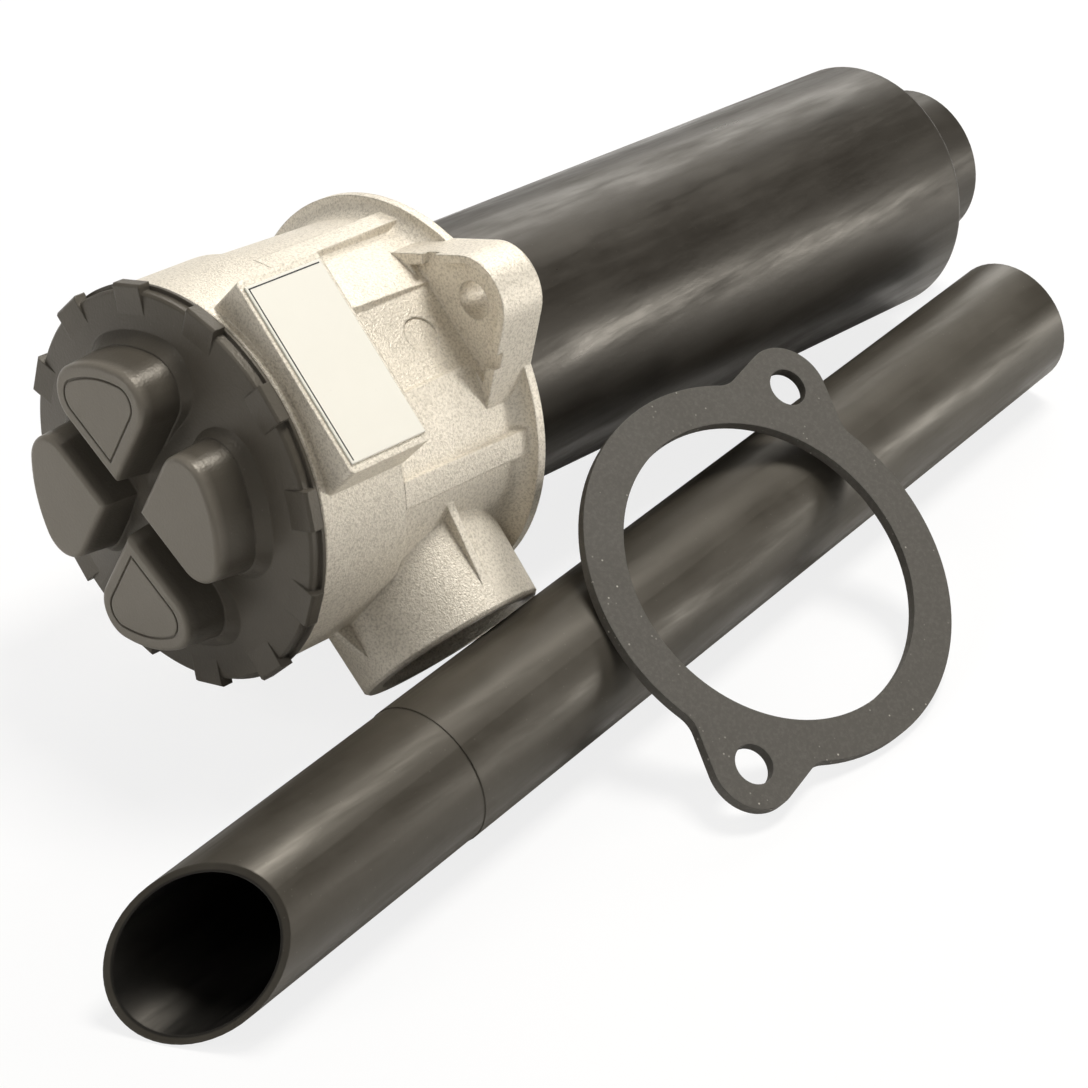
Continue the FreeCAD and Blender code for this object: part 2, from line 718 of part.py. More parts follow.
def make_core(foot, top):
    tube = turned_body("core_turned", [
        ("core_radius - core_wall", foot), ("core_radius", foot), ("core_radius", top),
        ("core_radius - core_wall", top)])
    slots = []
    for row in range(int(size("slot_rows"))):
        for column in range(3):
            slot = box(f"slot_{row + 1}_{column + 1}", "3 * core_radius", "slot_width", "slot_height",
                       ("-1.5 * core_radius", "-slot_width / 2", f"{foot} + 15 + {row} * slot_pitch"))
            slots.append(turned_about_axis(slot, 60 * column + 30 * (row % 2)))
    keep(cut("element_core", tube, fuse("core_slots", slots)), "element_core")


# Pleated medium: one zigzag sheet closed into a star and drawn along the axis
def make_medium(foot, top):
    count = int(size("pleat_count"))
    outer = size("media_radius")
    inner = size("media_bore")
    sheet_thickness = size("media_sheet")
    walls = []
    for inset in (0, sheet_thickness):
        points = []
        for index in range(2 * count):
            radius = outer - inset if index % 2 == 0 else inner + sheet_thickness - inset
            angle = math.pi * index / count
            points.append(Vector(radius * math.cos(angle), radius * math.sin(angle), foot))
        walls.append(Part.makePolygon(points + [points[0]]))
    section = Part.Face(walls[0]).cut(Part.Face(walls[1]))
    medium = doc.addObject("Part::Feature", "pleated_medium")
    medium.Shape = section.Faces[0].extrude(UP * (top - foot))
    keep(medium, "pleated_medium")


# Bypass valve under the element's top cap
def make_bypass():
    seat = "element_top - end_cap_thickness - bypass_seat_drop"
    disc = f"{seat} - rest_gap"
    keep(turned_body("bypass_poppet", [
        ("0", disc), ("poppet_radius", disc), ("poppet_radius", f"{disc} - poppet_thickness"),
        ("stem_radius", f"{disc} - poppet_thickness"), ("stem_radius", f"{disc} - stem_length"),
        ("0", f"{disc} - stem_length")]), "bypass_poppet")
    floor = f"{seat} - cage_depth"
    cup = turned_body("cage_turned", [
        ("stem_radius + stem_clearance", floor), ("cage_radius", floor), ("cage_radius", seat),
        ("cage_radius - cage_wall", seat), ("cage_radius - cage_wall", f"{floor} + cage_floor"),
        ("stem_radius + stem_clearance", f"{floor} + cage_floor")])
    windows = []
    for index in range(2):
        window = box(f"cage_window_{index + 1}", "3 * cage_radius", "cage_window",
                     "cage_depth - cage_floor - 4",
                     ("-1.5 * cage_radius", "-cage_window / 2", f"{floor} + cage_floor + 1"))
        windows.append(turned_about_axis(window, 45 + 90 * index))
    keep(cut("bypass_cage", cup, fuse("cage_windows", windows)), "bypass_cage")
    coil("bypass_spring", size("bypass_spring_radius"), size("bypass_spring_wire"),
         size(f"{floor} + cage_floor"), size(f"{disc} - poppet_thickness - rest_gap"),
         int(size("bypass_spring_turns")))


# Thrust washer under the cap and the spring that holds the element down
def make_hold_down():
    face = "head_height + cap_gap + cap_base_height + cap_skirt_height"
    under = f"{face} + cap_dome - cap_plate"
    top = f"{under} - rest_gap"
    foot = f"{top} - washer_thickness"
    keep(turned_body("thrust_washer", [
        ("washer_bore", foot), ("washer_radius", foot), ("washer_radius", top),
        ("washer_bore", top)]), "thrust_washer")
    coil("hold_down_spring", size("hold_spring_radius"), size("hold_spring_wire"),
         size("element_top"), size(f"{foot} - rest_gap"), int(size("hold_spring_turns")))


def make_plate():
    foot = "pad_foot + (pad_height - plate_height) / 2"
    plate = extruded_body("id_plate", "XZ_Plane", [
        ("pad_reach", foot), ("pad_reach + plate_thickness", foot),
        ("pad_reach + plate_thickness", f"{foot} + plate_height"),
        ("pad_reach", f"{foot} + plate_height")], "plate_width")
    return keep(plate, "id_plate")


# Flange gasket in its own axes: a flat ring with two flared ears
def make_gasket():
    ears = [turned_about_axis(
        flared_ear(f"gasket_ear_{side}", "ear_radius", "gasket_bore / 2", "gasket_thickness"), side)
        for side in (0, 180)]
    ring = fuse("gasket_outline", [cylinder("gasket_ring", "gasket_radius", "gasket_thickness")] + ears)
    holes = fuse("gasket_holes", [
        cylinder("gasket_opening", "gasket_bore", "gasket_thickness + 2", ("0", "0", "-1"))] + [
        cylinder(f"gasket_hole_{side}", "gasket_hole_radius", "gasket_thickness + 2",
                 (f"{side} * bolt_circle_radius", "0", "-1")) for side in (1, -1)])
    doc.recompute()
    blend = size("gasket_blend")
    corners = [index for index, edge in enumerate(ring.Shape.Edges, start=1)
               if edge.BoundBox.ZLength > 1 and isinstance(edge.Curve, Part.Line)
               and abs(math.hypot(edge.BoundBox.XMin, edge.BoundBox.YMin) - size("gasket_radius")) < 0.01]
    softened = doc.addObject("Part::Fillet", "gasket_softened")
    softened.Base = ring
    softened.Edges = [(index, blend, blend) for index in corners]
    return keep(cut("flange_gasket", softened, holes), "flange_gasket")


# Drop tube in its own axes: the long lip of its slanted end is at the origin's side
def make_tube():
    outer = turned_body("tube_outside", [
        ("0", "0"), ("tube_radius - tube_sleeve_step", "0"),
        ("tube_radius - tube_sleeve_step", "tube_sleeve_length"),
        ("tube_radius", "tube_sleeve_length"), ("tube_radius", "tube_length"), ("0", "tube_length")])
    bore = cylinder("tube_bore", "tube_radius - tube_wall", "tube_length + 4", ("0", "0", "-2"))
    slant = doc.addObject("Part::Box", "tube_slant")
    bind(slant, Length="8 * tube_radius", Width="8 * tube_radius", Height="4 * tube_radius")
    slant.Placement = Placement(
        Vector(-size("tube_radius"), 0, 0), Rotation(Vector(0, 1, 0), -size("tube_bevel"))).multiply(
        Placement(Vector(0, -4 * size("tube_radius"), -4 * size("tube_radius")), Rotation()))
    return keep(cut("drop_tube", outer, fuse("tube_hollow", [bore, slant])), "drop_tube")


make_head()
make_plate()
make_cap()
seal_ring("cap_seal", f"{SPIGOT} - seal_groove_depth + cap_seal_wire + 0.05",
          "cap_seal_wire", "head_height - 0.6 - seal_groove_height / 2")
make_hold_down()
make_element()
make_bypass()
make_bowl()
seal_ring("bowl_seal", "collar_radius - 2.6 + bowl_seal_wire + 0.05", "bowl_seal_wire",
          "ledge_height + 4")
make_retaining_ring()
make_gasket()
make_tube()
doc.recompute()


# How the filter lies on its side: it rests on the end of its bowl, the rim of its
# port and the ear that faces down. The three heights are solved together.
def lying_pose():
    reach = size("port_reach")
    boss = size("port_boss_radius")
    along = size("port_height")
    ear = size("ear_radius")
    arm = size("bolt_circle_radius")
    bowl = size("bowl_radius")
    length = size("bowl_length - bowl_lip")
    roll = math.radians(55)
    tilt = math.radians(5)
    height = arm
    for _ in range(60):
        height = (arm * math.sin(roll) + ear) * math.cos(tilt)
        tilt = math.asin((height - bowl * math.cos(tilt)) / length)
        rim = boss * math.sqrt(1 - (math.cos(roll) * math.cos(tilt)) ** 2)
        down = (height + along * math.sin(tilt) - rim) / (reach * math.cos(tilt))
        roll += 0.5 * (math.acos(max(-1.0, min(1.0, down))) - roll)
    upward = Vector(math.sin(tilt), 0, math.cos(tilt))
    across = Vector(0, 1, 0)
    x_axis = upward * math.sin(roll) - across * math.cos(roll)
    y_axis = upward * math.cos(roll) + across * math.sin(roll)
    z_axis = Vector(-math.cos(tilt), 0, math.sin(tilt))
    return Placement(Vector(0, 0, height), Rotation(x_axis, y_axis, z_axis, "ZXY"))


filter_pose = lying_pose()
loose = ("flange_gasket", "drop_tube")
for label, item in NODES.items():
    if label not in loose:
        item.Placement = filter_pose.multiply(item.Placement)
for label in ("screw_cap",):
    turn = Placement(Vector(0, 0, 0), Rotation(UP, size("cap_turn")))
    NODES[label].Placement = filter_pose.multiply(turn)


# Halves the way between a clear place and a blocked one until the piece is just clear
def settle(item, others, pose, clear, blocked):
    shape = item.Shape.copy()
    for _ in range(18):
        middle = (clear + blocked) / 2
        shape.Placement = pose(middle)
        if shape.distToShape(others)[0] > size("rest_gap"):
            clear = middle
        else:
            blocked = middle
    item.Placement = pose(clear)


# The drop tube lies on the floor beside the filter, just clear of the port's mouth
def tube_pose(beside):
    yaw = math.radians(size("tube_yaw"))
    along = Vector(math.cos(yaw), math.sin(yaw), 0)
    upward = Rotation(along, size("tube_turn")).multVec(UP)
    foot = Vector(0, beside, size("tube_radius"))
    return Placement(foot + along * size("tube_start"),
                     Rotation(upward, along.cross(upward), along, "ZXY"))


# The gasket stands on its edge and leans back on the drop tube
def gasket_pose(beside):
    lean = math.radians(size("gasket_lean"))
    facing = math.radians(size("gasket_facing"))
    twist = math.radians(size("gasket_twist"))
    normal = Vector(math.sin(lean) * math.cos(facing), math.sin(lean) * math.sin(facing), math.cos(lean))
    level = Vector(-math.sin(facing), math.cos(facing), 0)
    slope = level.cross(normal)
    if slope.z < 0:
        slope = slope * -1
    ears = slope * math.cos(twist) + level * math.sin(twist)
    lowest = max(size("gasket_radius") * math.sin(lean),
                 size("bolt_circle_radius") * ears.z + size("ear_radius") * math.sin(lean))
    return Placement(Vector(size("gasket_along"), beside, lowest),
                     Rotation(ears, normal.cross(ears), normal, "ZXY"))


head_shape = NODES["filter_head"].Shape
reach = 3 * size("port_reach")
settle(NODES["drop_tube"], head_shape, tube_pose, -reach, 0)
doc.recompute()
tube = NODES["drop_tube"]
settle(NODES["flange_gasket"], Part.makeCompound([tube.Shape, head_shape]), gasket_pose, -reach, 0)
doc.recompute()

# The row's origin is under the middle of everything, on the floor
whole = Part.makeCompound([item.Shape for item in NODES.values()]).optimalBoundingBox(False, False)
centring = Placement(Vector(-whole.Center.x, -whole.Center.y, -whole.ZMin), Rotation())
for item in NODES.values():
    item.Placement = centring.multiply(item.Placement)
doc.recompute()

for item in doc.Objects:
    if "Invalid" in item.State or "Error" in item.State:
        raise RuntimeError(f"{item.Label} did not compute: {item.State}")
for label, item in NODES.items():
    if item.Shape.isNull() or not item.Shape.isValid():
        raise RuntimeError(f"{label} has no valid shape")

os.makedirs("parts", exist_ok=True)
for label, item in NODES.items():
    item.Shape.exportStep(f"parts/{label}.step")
    print(label, "solids", len(item.Shape.Solids), "volume", round(item.Shape.Volume, 1))
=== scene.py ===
import json
import math

import bmesh
import bpy
from bpy.props import FloatProperty, FloatVectorProperty, IntProperty, PointerProperty
from mathutils import Matrix, Vector


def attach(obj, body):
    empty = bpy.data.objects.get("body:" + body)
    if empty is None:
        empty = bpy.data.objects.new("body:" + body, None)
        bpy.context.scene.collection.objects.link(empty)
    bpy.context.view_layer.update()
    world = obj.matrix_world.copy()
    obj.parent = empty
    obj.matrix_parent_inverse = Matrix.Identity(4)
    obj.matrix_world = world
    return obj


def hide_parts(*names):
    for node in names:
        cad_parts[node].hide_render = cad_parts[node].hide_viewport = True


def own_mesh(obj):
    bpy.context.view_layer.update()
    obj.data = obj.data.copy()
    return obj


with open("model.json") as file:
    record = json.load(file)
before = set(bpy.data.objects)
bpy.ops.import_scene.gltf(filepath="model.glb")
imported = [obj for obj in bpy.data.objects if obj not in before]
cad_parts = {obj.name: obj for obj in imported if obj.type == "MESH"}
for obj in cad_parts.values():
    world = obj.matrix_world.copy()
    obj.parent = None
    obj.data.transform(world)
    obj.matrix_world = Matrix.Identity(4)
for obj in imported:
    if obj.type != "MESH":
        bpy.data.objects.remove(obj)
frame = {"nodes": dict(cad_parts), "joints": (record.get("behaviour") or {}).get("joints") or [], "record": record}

bl_info = {
    "name": "Return Line Filter",
    "version": (1, 0, 0),
    "blender": (4, 5, 0),
    "location": "View3D > Sidebar > Filter",
    "description": "Dresses a tank-top return line filter with its gasket and drop tube",
    "category": "Object",
}

NODES = frame["nodes"]
MOUNTS = {mount["name"]: mount for mount in frame["record"]["mounts"]}
JOINTS = {joint["name"]: joint for joint in frame["joints"]}
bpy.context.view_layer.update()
MM = 0.001

# Where the painted light on the lobe tops and the painted shade inside the tube begin, along the filter's axis or
# across the tube's
LOBE_PALE_FOOT = 90.5 * MM
LOBE_PALE_TOP = 94.0 * MM
TUBE_INSIDE = 17.6 * MM
INSIDE_FADE = 0.4 * MM
INSIDE_SHADE = (0.003, 0.003, 0.003, 1)

# Finishes of what lies inside, each as light and shade or base and dust
ZINC = {"Light": (0.62, 0.62, 0.60, 1), "Shade": (0.48, 0.48, 0.46, 1)}
SPRING_STEEL = {"Light": (0.50, 0.49, 0.47, 1), "Shade": (0.32, 0.31, 0.30, 1)}
PLEATS = {"Base": (0.62, 0.56, 0.44, 1), "Dust": (0.85, 0.82, 0.74, 1)}
RUBBER = (0.015, 0.015, 0.015, 1)
VALVE_GREY = (0.10, 0.10, 0.11, 1)
PLATE_DUST = (0.60, 0.57, 0.50, 1)

# Fine forms that the scene adds
LINE_HEIGHT = 0.06 * MM
THREAD_WALL_GAP = 0.02 * MM
THREAD_CREST_HALF = 0.12
SPIN_STEPS = 96
MERGE_DISTANCE = 1e-6

# Stage: lamps as name, place, watts, width in metres and colour
WARM = (1.0, 0.975, 0.93)
NEUTRAL = (1.0, 0.98, 0.95)
LAMP_AIM = Vector((-0.02, 0.02, 0.03))
LAMPS = (
    ("Key lamp", (0.55, 0.0, 1.65), 25.0, 0.55, WARM),
    ("Fill lamp", (-1.4, 0.5, 1.3), 5.0, 0.6, NEUTRAL),
    ("Rim lamp", (1.4, 1.1, 0.9), 10.0, 0.9, WARM),
    ("Side lamp", (1.6, -1.5, 0.27), 13.0, 0.5, WARM),
)
FLOOR_DROP = 0.0002
FLOOR_GLOW = 0.82
PAPER = (0.93, 0.93, 0.93, 1)
PAPER_ROUGHNESS = 0.9
WORLD_STRENGTH = 0.20
SENSOR_WIDTH = 36.0

# What every surface group puts out
SURFACE = (("Colour", "Color", None), ("Roughness", "Float", None), ("Normal", "Vector", None))


# Frames of the filter and of what has a mount, as matrices from their own axes
def axes_matrix(x_axis, y_axis, z_axis, origin):
    turned = Matrix((x_axis, y_axis, z_axis)).transposed().to_4x4()
    return Matrix.Translation(origin) @ turned


def filter_matrix():
    turn = JOINTS["cap_turn"]
    z_axis = Vector(turn["axis"]).normalized()
    y_axis = -Vector(MOUNTS["inlet_port"]["axis"]).normalized()
    x_axis = y_axis.cross(z_axis)
    return axes_matrix(x_axis, y_axis, z_axis, Vector(turn["pos_m"]))


def mount_matrix(name):
    mount = MOUNTS[name]
    z_axis = Vector(mount["axis"]).normalized()
    lies_along_x = abs(z_axis.x) >= 0.9
    helper = Vector((0, 0, 1)) if lies_along_x else Vector((1, 0, 0))
    y_axis = z_axis.cross(helper).normalized()
    return axes_matrix(y_axis.cross(z_axis), y_axis, z_axis, Vector(mount["pos_m"]))


FILTER = filter_matrix()
TUBE = mount_matrix("drop_tube_bore")


# Sizes and colours that a user would change
def colour(name, description, value):
    return FloatVectorProperty(name=name, description=description, default=value, subtype="COLOR",
                               size=4, min=0.0, max=1.0)


def length(name, description, value):
    return FloatProperty(name=name, description=description, default=value, unit="LENGTH", min=0.0)


class FilterFinishes(bpy.types.PropertyGroup):
    casting: colour("Casting", "Blasted die casting of the head", (0.86, 0.80, 0.69, 1))
    casting_shade: colour("Casting shade", "Darker patches of the casting", (0.44, 0.39, 0.31, 1))
    cap: colour("Cap", "Matt polymer of the screw cap", (0.080, 0.071, 0.057, 1))
    # Painted light: a paler colour laid on the tops of the cap's lobes, where light falls on them
    cap_painted_light: colour("Cap, painted light", "Paler tops of the cap's lobes", (0.185, 0.168, 0.140, 1))
    bowl: colour("Bowl", "Satin polymer of the bowl", (0.022, 0.019, 0.015, 1))
    tube: colour("Drop tube", "Satin polymer of the drop tube", (0.040, 0.035, 0.027, 1))
    gasket: colour("Gasket", "Sheet material of the flange gasket", (0.074, 0.068, 0.058, 1))
    dust: colour("Dust", "Pale dust on the gasket and polymer", (0.55, 0.52, 0.46, 1))
    sheen: colour("Sheen", "Tint of the highlights on bowl and tube", (1.0, 0.93, 0.82, 1))
    plate: colour("Plate", "Off-white face of the blank plate", (0.86, 0.84, 0.76, 1))
    ink: colour("Plate edge line", "Thin line near two edges of the plate", (0.02, 0.02, 0.02, 1))


class PortThreadSizes(bpy.types.PropertyGroup):
    bore: length("Bore", "Radius of the port's bore", 18.9 * MM)
    pitch: length("Pitch", "Distance between two turns of the thread", 2.309 * MM)
    depth: length("Depth", "Height of the thread's ridges", 1.1 * MM)
    start: length("Start", "Distance of the first ridge inside the mouth", 2.4 * MM)
    turns: IntProperty(name="Turns", description="Number of ridges", default=8, min=2, max=12)


class PlateLineSizes(bpy.types.PropertyGroup):
    inset: length("Inset", "Distance of the line from the plate's edge", 0.7 * MM)
    width: length("Width", "Width of the line", 0.35 * MM)


class StageSizes(bpy.types.PropertyGroup):
    lens: FloatProperty(name="Lens", description="Focal length on a 36 mm sensor",
                        default=102.34, min=1.0)
    azimuth: FloatProperty(name="Azimuth", description="Heading of the view", subtype="ANGLE",
                           default=math.radians(42.55))
    elevation: FloatProperty(name="Elevation", description="Downward slope of the view",
                             subtype="ANGLE", default=math.radians(37.27))
    roll: FloatProperty(name="Roll", description="Turn about the line of sight", subtype="ANGLE",
                        default=math.radians(1.52))
    place: FloatVectorProperty(name="Camera place", subtype="TRANSLATION", size=3,
                               description="Camera position in the shared frame",
                               default=(-0.49780, -0.43755, 0.51840))
    floor_size: length("Floor size", "Width of the pale floor", 4.0)


# Shader helpers
def new_group(name, inputs):
    group = bpy.data.node_groups.new(name, "ShaderNodeTree")
    for sockets, direction in ((inputs, "INPUT"), (SURFACE, "OUTPUT")):
        for label, kind, value in sockets:
            made = group.interface.new_socket(name=label, in_out=direction,
                                              socket_type="NodeSocket" + kind)
            if value is not None:
                made.default_value = value
    return group, group.nodes.new("NodeGroupInput"), group.nodes.new("NodeGroupOutput")


def add_node(tree, kind, links=None, **settings):
    node = tree.nodes.new("ShaderNode" + kind)
    values = settings.pop("values", {})
    for name, value in settings.items():
        setattr(node, name, value)
    for socket, value in values.items():
        node.inputs[socket].default_value = value
    for socket, source in (links or {}).items():
        tree.links.new(source, node.inputs[socket])
    return node


def noise(tree, vector, scale, detail=3.0, roughness=0.55):
    node = add_node(tree, "TexNoise", {"Vector": vector},
                    values={"Detail": detail, "Roughness": roughness})
    if isinstance(scale, float):
        node.inputs["Scale"].default_value = scale
    else:
        tree.links.new(scale, node.inputs["Scale"])
    return node.outputs["Fac"]


def specks(tree, vector, scale):
    node = add_node(tree, "TexVoronoi", {"Vector": vector}, values={"Scale": scale})
    return node.outputs["Distance"]


def ramp(tree, source, low, high, out_low=0.0, out_high=1.0):
    node = add_node(tree, "MapRange", {"Value": source}, values={
        "From Min": low, "From Max": high, "To Min": out_low, "To Max": out_high})
    return node.outputs["Result"]


def math_node(tree, operation, first, second):
    node = add_node(tree, "Math", operation=operation)
    for index, value in enumerate((first, second)):
        if isinstance(value, (int, float)):
            node.inputs[index].default_value = value
        else:
            tree.links.new(value, node.inputs[index])
    return node.outputs[0]


def mix_colour(tree, factor, first, second):
    node = add_node(tree, "Mix", data_type="RGBA")
    for socket, value in ((0, factor), (6, first), (7, second)):
        if isinstance(value, (int, float, tuple)):
            node.inputs[socket].default_value = value
        else:
            tree.links.new(value, node.inputs[socket])
    return node.outputs[2]


def bump(tree, height, strength, distance, soft_edge):
    rounded = add_node(tree, "Bevel", samples=4, values={"Radius": soft_edge})
    node = add_node(tree, "Bump", {"Height": height, "Normal": rounded.outputs["Normal"]},
                    values={"Distance": distance})
    if isinstance(strength, float):
        node.inputs["Strength"].default_value = strength
    else:
        tree.links.new(strength, node.inputs["Strength"])
    return node.outputs["Normal"]


# Shared effects: blasted casting, moulded polymer, dusty sheet, drawn metal
def casting_group():
    group, given, out = new_group("Blasted casting", [
        ("Light", "Color", (1, 1, 1, 1)), ("Shade", "Color", (0.5, 0.5, 0.5, 1)),
        ("Grain", "Float", 2200.0), ("Relief", "Float", 0.6)])
    place = add_node(group, "TexCoord").outputs["Object"]
    fine = noise(group, place, given.outputs["Grain"], detail=2.0, roughness=0.6)
    coarse = noise(group, place, scale=1500.0, detail=2.0, roughness=0.6)
    patches = noise(group, place, scale=16.0, detail=3.0, roughness=0.5)
    stains = ramp(group, patches, 0.38, 0.68)
    speckle = ramp(group, coarse, 0.42, 0.68)
    sparkle = ramp(group, fine, 0.56, 0.70)
    clouded = math_node(group, "ADD", math_node(group, "MULTIPLY", stains, 0.10),
                        math_node(group, "MULTIPLY", speckle, 0.60))
    mask = math_node(group, "SUBTRACT", clouded, math_node(group, "MULTIPLY", sparkle, 0.4))
    tone = mix_colour(group, math_node(group, "MAXIMUM", mask, 0.0), given.outputs["Light"],
                      given.outputs["Shade"])
    group.links.new(tone, out.inputs["Colour"])
    rough = ramp(group, fine, 0.2, 0.8, out_low=0.34, out_high=0.56)
    group.links.new(rough, out.inputs["Roughness"])
    height = math_node(group, "ADD", fine, math_node(group, "MULTIPLY", coarse, 0.8))
    normal = bump(group, height, given.outputs["Relief"], distance=0.00025, soft_edge=0.0008)
    group.links.new(normal, out.inputs["Normal"])
    return group


def polymer_group():
    group, given, out = new_group("Moulded polymer", [
        ("Base", "Color", (0.05, 0.05, 0.05, 1)), ("Dust", "Color", (0.5, 0.5, 0.5, 1)),
        ("Dust amount", "Float", 0.1), ("Grain", "Float", 1500.0), ("Relief", "Float", 0.15),
        ("Smoothness", "Float", 0.4), ("Streaks", "Float", 0.0)])
    place = add_node(group, "TexCoord").outputs["Object"]
    fine = noise(group, place, given.outputs["Grain"], detail=2.0, roughness=0.5)
    clouds = noise(group, place, scale=22.0, detail=4.0, roughness=0.65)
    dots = ramp(group, specks(group, place, scale=340.0), 0.10, 0.03)
    haze = math_node(group, "MULTIPLY", ramp(group, clouds, 0.42, 0.75), 0.5)
    dusty = math_node(group, "ADD", haze, math_node(group, "MULTIPLY", dots, 0.6))
    amount = math_node(group, "MULTIPLY", dusty, given.outputs["Dust amount"])
    tone = mix_colour(group, amount, given.outputs["Base"], given.outputs["Dust"])
    group.links.new(tone, out.inputs["Colour"])
    drawn = add_node(group, "Mapping", {"Vector": place}, values={"Scale": (0.10, 1.0, 1.0)})
    lines = noise(group, drawn.outputs["Vector"], scale=150.0, detail=4.0, roughness=0.65)
    streaks = math_node(group, "MULTIPLY", ramp(group, lines, 0.35, 0.70, -0.10, 0.16),
                        given.outputs["Streaks"])
    dulled = ramp(group, clouds, 0.3, 0.8, out_low=-0.05, out_high=0.10)
    uneven = math_node(group, "ADD", dulled, streaks)
    rough = math_node(group, "ADD", given.outputs["Smoothness"], uneven)
    group.links.new(rough, out.inputs["Roughness"])
    normal = bump(group, fine, given.outputs["Relief"], distance=0.0002, soft_edge=0.0006)
    group.links.new(normal, out.inputs["Normal"])
    return group


def sheet_group():
    group, given, out = new_group("Dusty sheet", [
        ("Base", "Color", (0.08, 0.08, 0.07, 1)), ("Dust", "Color", (0.5, 0.5, 0.5, 1))])
    place = add_node(group, "TexCoord").outputs["Object"]
    fibres = noise(group, place, scale=900.0, detail=4.0, roughness=0.7)
    patches = noise(group, place, scale=45.0, detail=3.0, roughness=0.6)
    dots = math_node(group, "MULTIPLY", ramp(group, specks(group, place, scale=420.0), 0.14, 0.06),
                     ramp(group, patches, 0.48, 0.62))
    amount = math_node(group, "ADD", math_node(group, "MULTIPLY", dots, 0.9),
                       ramp(group, fibres, 0.45, 0.8, 0.0, 0.07))
    group.links.new(mix_colour(group, amount, given.outputs["Base"], given.outputs["Dust"]),
                    out.inputs["Colour"])
    rough = ramp(group, patches, 0.3, 0.7, out_low=0.55, out_high=0.75)
    group.links.new(rough, out.inputs["Roughness"])
    normal = bump(group, fibres, strength=0.3, distance=0.0002, soft_edge=0.0004)
    group.links.new(normal, out.inputs["Normal"])
    return group


def metal_group():
    group, given, out = new_group("Drawn metal", [
        ("Light", "Color", (0.6, 0.6, 0.6, 1)), ("Shade", "Color", (0.4, 0.4, 0.4, 1))])
    place = add_node(group, "TexCoord").outputs["Object"]
    stretched = add_node(group, "Mapping", {"Vector": place}, values={"Scale": (1.0, 14.0, 14.0)})
    lines = noise(group, stretched.outputs["Vector"], scale=160.0, detail=3.0, roughness=0.6)
    group.links.new(mix_colour(group, ramp(group, lines, 0.35, 0.7), given.outputs["Light"],
                               given.outputs["Shade"]), out.inputs["Colour"])
    rough = ramp(group, lines, 0.3, 0.7, out_low=0.28, out_high=0.42)
    group.links.new(rough, out.inputs["Roughness"])
    normal = bump(group, lines, strength=0.15, distance=0.0001, soft_edge=0.0003)
    group.links.new(normal, out.inputs["Normal"])
    return group


GROUP_MAKERS = {"Blasted casting": casting_group, "Moulded polymer": polymer_group,
                "Dusty sheet": sheet_group, "Drawn metal": metal_group}


def finish_material(name, group_name, values, **shader):
    made = bpy.data.materials.get(name)
    if made:
        return made
    made = bpy.data.materials.new(name)
    made.use_nodes = True
    tree = made.node_tree
    surface = tree.nodes["Principled BSDF"]
    effect = tree.nodes.new("ShaderNodeGroup")
    effect.node_tree = bpy.data.node_groups.get(group_name) or GROUP_MAKERS[group_name]()
    for socket, value in values.items():
        effect.inputs[socket].default_value = value
    for source, target in (("Colour", "Base Color"), ("Roughness", "Roughness"),
                           ("Normal", "Normal")):
        tree.links.new(effect.outputs[source], surface.inputs[target])
    for socket, value in shader.items():
        surface.inputs[socket.replace("_", " ")].default_value = value
    return made


def own_axes(tree, matrix):
    place = add_node(tree, "TexCoord").outputs["Object"]
    inverse = matrix.inverted()
    return add_node(tree, "Mapping", {"Vector": place}, values={
        "Location": inverse.to_translation(), "Rotation": inverse.to_euler()}).outputs["Vector"]


def tint_where(material, mask, tint):
    tree = material.node_tree
    surface = tree.nodes["Principled BSDF"]
    plain = surface.inputs["Base Color"].links[0].from_socket
    tree.links.new(mix_colour(tree, mask, plain, tint), surface.inputs["Base Color"])


# Painted light: lighter colour towards the tops, along the z axis of the given frame
def paint_lit_tops(material, matrix, foot, top, tint):
    tree = material.node_tree
    parts = add_node(tree, "SeparateXYZ", {"Vector": own_axes(tree, matrix)})
    tint_where(material, ramp(tree, parts.outputs["Z"], foot, top), tint)


# Painted shade: darkens everything within the given radius of the frame's axis, inside the tube where shade falls
def darken_inside(material, matrix, radius, tint):
    tree = material.node_tree
    centred = own_axes(tree, matrix)
    flat = add_node(tree, "VectorMath", {0: centred}, operation="MULTIPLY",
                    values={1: (1.0, 1.0, 0.0)})
    reach = add_node(tree, "VectorMath", {0: flat.outputs["Vector"]}, operation="LENGTH")
    inside = ramp(tree, reach.outputs["Value"], radius, radius - INSIDE_FADE)
    tint_where(material, inside, tint)


def give(name, material):
    item = NODES[name]
    item.data.materials.clear()
    item.data.materials.append(material)


# Mesh helpers
def finished_piece(name, mesh_data, matrix, body, material, smooth=True):
    bmesh.ops.remove_doubles(mesh_data, verts=mesh_data.verts, dist=MERGE_DISTANCE)
    bmesh.ops.recalc_face_normals(mesh_data, faces=mesh_data.faces)
    bmesh.ops.transform(mesh_data, matrix=matrix, verts=mesh_data.verts)
    mesh = bpy.data.meshes.new(name)
    mesh_data.to_mesh(mesh)
    mesh_data.free()
    for polygon in mesh.polygons:
        polygon.use_smooth = smooth
    mesh.materials.append(material)
    piece = bpy.data.objects.new(name, mesh)
    bpy.context.scene.collection.objects.link(piece)
    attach(piece, body)
    return piece


def spun_profile(points):
    ring = bmesh.new()
    verts = [ring.verts.new((radius, 0, height)) for radius, height in points]
    edges = [ring.edges.new(pair) for pair in zip(verts, verts[1:])]
    bmesh.ops.spin(ring, geom=verts + edges, cent=(0, 0, 0), axis=(0, 0, 1), angle=2 * math.pi,
                   steps=SPIN_STEPS, use_merge=True)
    return ring


